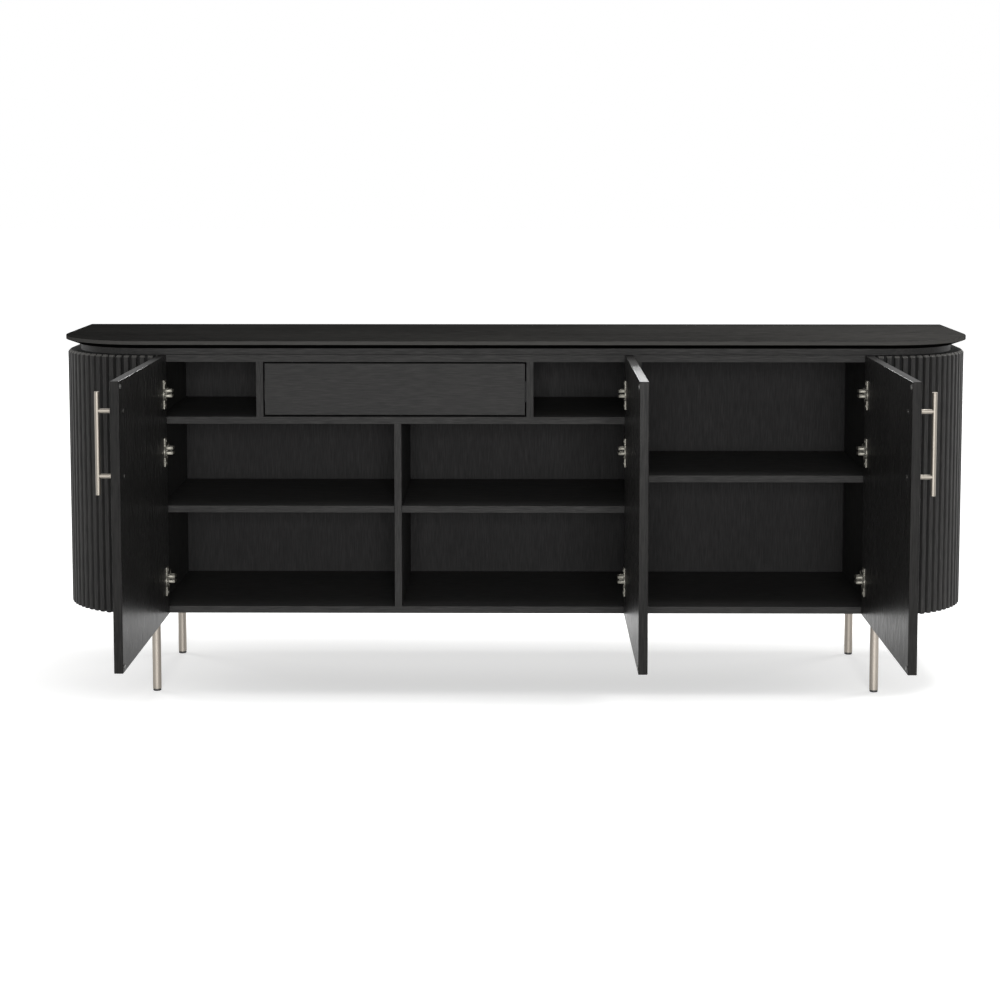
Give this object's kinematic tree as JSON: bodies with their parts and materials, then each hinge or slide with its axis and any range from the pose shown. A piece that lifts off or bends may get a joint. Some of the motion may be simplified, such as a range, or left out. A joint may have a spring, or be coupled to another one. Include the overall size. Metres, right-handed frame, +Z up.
{
  "type": "sideboard buffet",
  "caption": "Long black oak sideboard with curved slatted ends, hinged doors on concealed hinges, an inset drawer on runners, loose shelves and slim metal legs.",
  "frame": {"origin": "on the floor, under the middle of the box around the sideboard with its doors open square", "axes": "+X to the right seen from the front, +Y towards the back, +Z up; the doors open towards -Y"},
  "size_m": [2, 0.9414, 0.78],
  "materials": {
    "black_oak": "satin",
    "drawer_board": "matte",
    "brushed_nickel": "brushed",
    "plated_steel": "satin",
    "runner_steel": "satin",
    "foot_plastic": "matte",
    "clear_bumper": "satin"
  },
  "bodies": {
    "carcass": {"top_slab": "black_oak", "top_spacer": "black_oak", "carcass_top_panel": "black_oak", "carcass_bottom_panel": "black_oak", "left_side_panel": "black_oak", "right_side_panel": "black_oak", "bay_partition": "black_oak", "back_panel": "black_oak", "left_end_core": "black_oak", "right_end_core": "black_oak", "left_end_slats": "black_oak", "right_end_slats": "black_oak", "fixed_shelf": "black_oak", "drawer_dividers": "black_oak", "lower_divider": "black_oak", "front_legs": "brushed_nickel", "back_legs": "brushed_nickel", "leg_feet": "foot_plastic", "leg_plates": "plated_steel", "leg_plate_screws": "plated_steel", "shelf_pins": "plated_steel", "hinge_plates": "plated_steel", "hinge_plate_screws": "plated_steel", "hinge_arms": "plated_steel", "drawer_runner_rails": "runner_steel"},
    "left_door": {"left_door_panel": "black_oak", "left_door_hinge_cups": "plated_steel", "left_door_hinge_pins": "plated_steel", "left_door_cup_screws": "plated_steel", "left_door_handle_bar": "brushed_nickel", "left_door_handle_posts": "brushed_nickel", "left_door_handle_screws": "plated_steel", "left_door_bumpers": "clear_bumper"},
    "middle_door": {"middle_door_panel": "black_oak", "middle_door_hinge_cups": "plated_steel", "middle_door_hinge_pins": "plated_steel", "middle_door_cup_screws": "plated_steel", "middle_door_bumpers": "clear_bumper"},
    "right_door": {"right_door_panel": "black_oak", "right_door_hinge_cups": "plated_steel", "right_door_hinge_pins": "plated_steel", "right_door_cup_screws": "plated_steel", "right_door_handle_bar": "brushed_nickel", "right_door_handle_posts": "brushed_nickel", "right_door_handle_screws": "plated_steel", "right_door_bumpers": "clear_bumper"},
    "drawer": {"drawer_front": "black_oak", "drawer_sides": "drawer_board", "drawer_back": "drawer_board", "drawer_bottom": "drawer_board", "drawer_runner_members": "runner_steel"},
    "runner_sliders": {"drawer_runner_sliders": "runner_steel"},
    "left_bay_left_shelf": {"left_bay_left_shelf": "black_oak"},
    "left_bay_right_shelf": {"left_bay_right_shelf": "black_oak"},
    "right_bay_shelf": {"right_bay_shelf": "black_oak"}
  },
  "joints": [
    {"name": "left_door_hinge", "type": "hinge", "parent": "carcass", "child": "left_door", "pos_m": [-0.76125, 0.03171, 0.4665], "axis": [0, 0, -1], "range_deg": [-90, 10]},
    {"name": "middle_door_hinge", "type": "hinge", "parent": "carcass", "child": "middle_door", "pos_m": [0.24758, 0.03171, 0.4665], "axis": [0, 0, 1], "range_deg": [-90, 10]},
    {"name": "right_door_hinge", "type": "hinge", "parent": "carcass", "child": "right_door", "pos_m": [0.76125, 0.03171, 0.4665], "axis": [0, 0, 1], "range_deg": [-90, 10]},
    {"name": "drawer_slide", "type": "slide", "parent": "carcass", "child": "drawer", "axis": [0, -1, 0], "range_m": [0, 0.3]},
    {"name": "runner_slide", "type": "slide", "parent": "carcass", "child": "runner_sliders", "axis": [0, -1, 0], "range_m": [0, 0.15]},
    {"name": "left_bay_left_shelf_lift", "type": "slide", "parent": "carcass", "child": "left_bay_left_shelf", "axis": [0, 0, 1], "range_m": [0, 0.02]},
    {"name": "left_bay_right_shelf_lift", "type": "slide", "parent": "carcass", "child": "left_bay_right_shelf", "axis": [0, 0, 1], "range_m": [0, 0.02]},
    {"name": "right_bay_shelf_lift", "type": "slide", "parent": "carcass", "child": "right_bay_shelf", "axis": [0, 0, 1], "range_m": [0, 0.02]}
  ],
  "couplings": [
    {"joint": "runner_slide", "follows": "drawer_slide", "ratio": 0.5}
  ]
}
